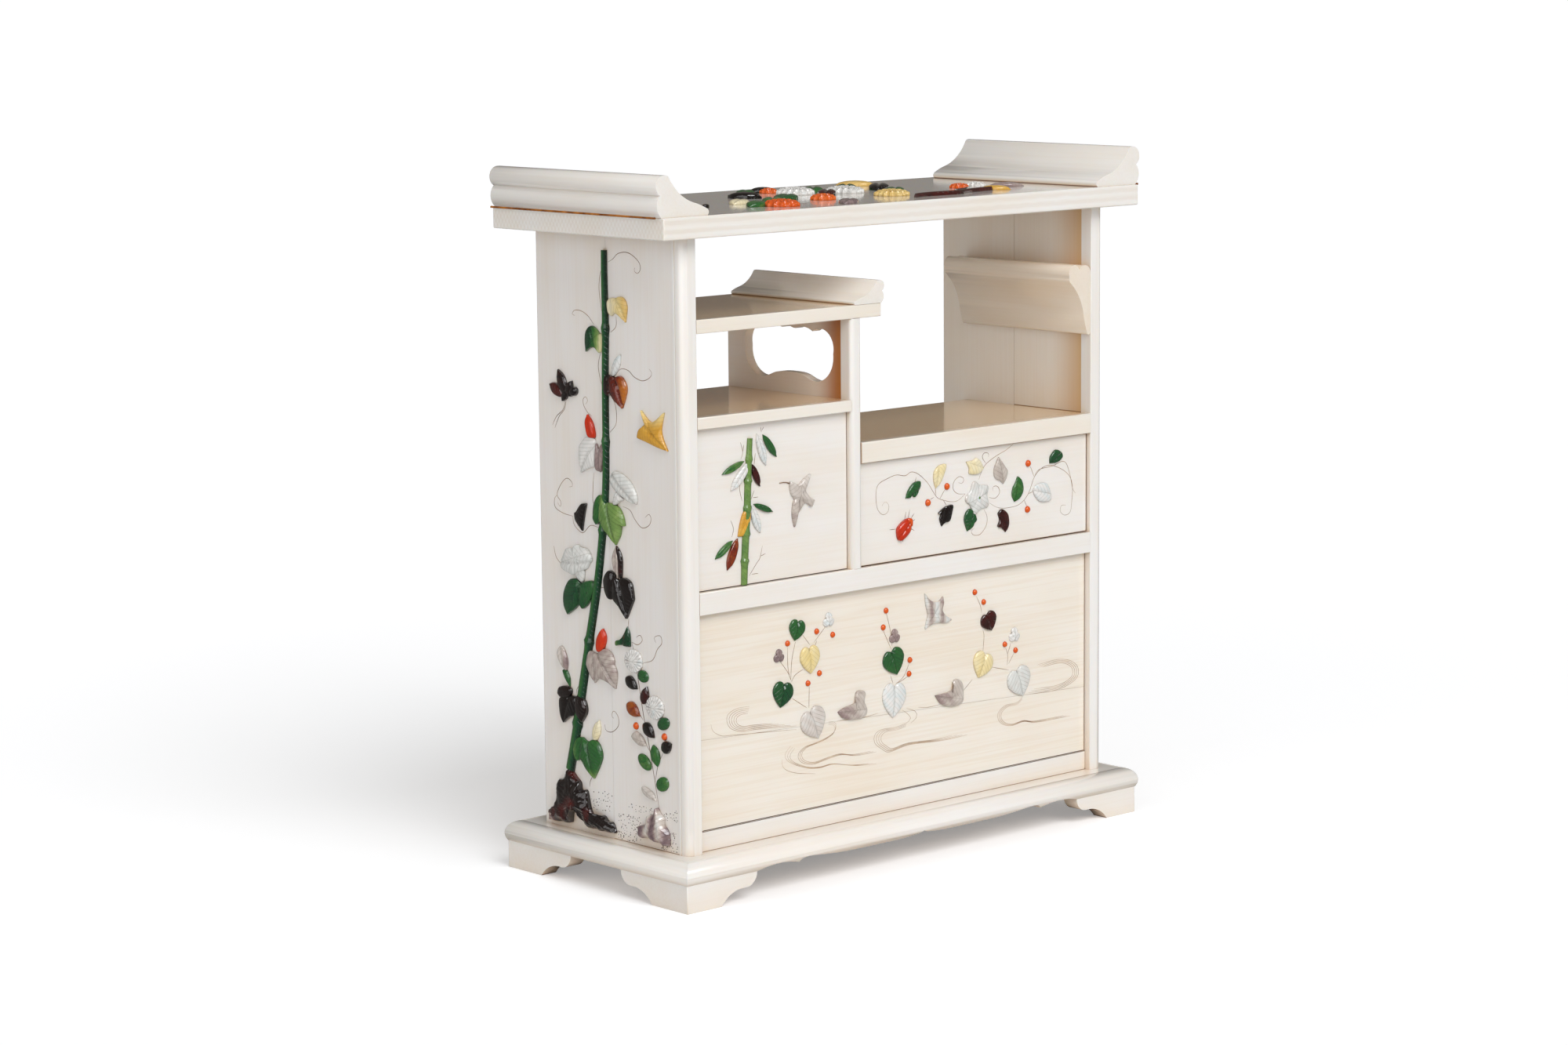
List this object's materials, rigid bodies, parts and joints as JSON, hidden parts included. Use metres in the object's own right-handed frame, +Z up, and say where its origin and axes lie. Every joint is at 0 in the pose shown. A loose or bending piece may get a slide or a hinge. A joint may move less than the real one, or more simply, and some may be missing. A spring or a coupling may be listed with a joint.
{
  "type": "tabletop display cabinet",
  "caption": "Ivory-coloured tabletop shelf cabinet on bracket feet with staggered open shelves, a pivoted door, sliding drawers and a scroll-ended top board.",
  "frame": {"origin": "middle of the footprint on the floor, under the four feet", "axes": "+X to the cabinet's right seen from the front, the doors and drawers face -Y, +Z up"},
  "size_m": [0.2646, 0.1114, 0.2809],
  "materials": {
    "coral": "polished",
    "green_bone": "polished",
    "horn": "gloss",
    "ivory": "polished",
    "lining_wood": "matte",
    "mother_of_pearl": "polished",
    "pin_brass": "satin",
    "tortoiseshell": "gloss"
  },
  "bodies": {
    "case": {"back_board": "lining_wood", "bottom_board": "lining_wood", "bottom_rail": "ivory", "cupboard_shelf": "ivory", "divider_post": "ivory", "door_pin_lower": "pin_brass", "door_pin_upper": "pin_brass", "foot_front_left": "ivory", "foot_front_right": "ivory", "foot_rear_left": "ivory", "foot_rear_right": "ivory", "left_post": "ivory", "left_side_front_board": "ivory", "left_side_rear_board": "ivory", "mid_board": "lining_wood", "mid_rail": "ivory", "partition": "ivory", "plinth_front_rail": "ivory", "plinth_left_rail": "ivory", "plinth_rear_rail": "ivory", "plinth_right_rail": "ivory", "right_post": "ivory", "right_shelf": "ivory", "right_side_front_board": "ivory", "right_side_rear_board": "ivory", "side_coral_inlay": "coral", "side_dark_inlay": "tortoiseshell", "side_horn_inlay": "horn", "side_shell_inlay": "mother_of_pearl", "side_vine_inlay": "green_bone", "small_scroll": "ivory", "small_shelf": "ivory", "top_board": "ivory", "top_flower_inlay": "mother_of_pearl", "top_leaf_inlay": "green_bone", "top_scroll_left": "ivory", "top_scroll_right": "ivory", "wall_scroll": "ivory", "window_panel": "ivory"},
    "door": {"door": "ivory", "door_bamboo_inlay": "green_bone", "door_bird_inlay": "mother_of_pearl"},
    "drawer": {"drawer_back": "lining_wood", "drawer_beetle_inlay": "coral", "drawer_bottom": "lining_wood", "drawer_flower_inlay": "mother_of_pearl", "drawer_front": "ivory", "drawer_leaf_inlay": "green_bone", "drawer_left_side": "lining_wood", "drawer_right_side": "lining_wood"},
    "large_drawer": {"large_drawer_back": "lining_wood", "large_drawer_berry_inlay": "coral", "large_drawer_bottom": "lining_wood", "large_drawer_leaf_inlay": "green_bone", "large_drawer_left_side": "lining_wood", "large_drawer_lower_front": "ivory", "large_drawer_right_side": "lining_wood", "large_drawer_shell_inlay": "mother_of_pearl", "large_drawer_upper_front": "ivory"}
  },
  "joints": [
    {"name": "door_hinge", "type": "hinge", "parent": "case", "child": "door", "pos_m": [-0.1063, -0.0395, 0.1521], "axis": [0, 0, -1], "range_deg": [0, 90]},
    {"name": "drawer_slide", "type": "slide", "parent": "case", "child": "drawer", "axis": [0, -1, 0], "range_m": [0, 0.055]},
    {"name": "large_drawer_slide", "type": "slide", "parent": "case", "child": "large_drawer", "axis": [0, -1, 0], "range_m": [0, 0.055]}
  ]
}
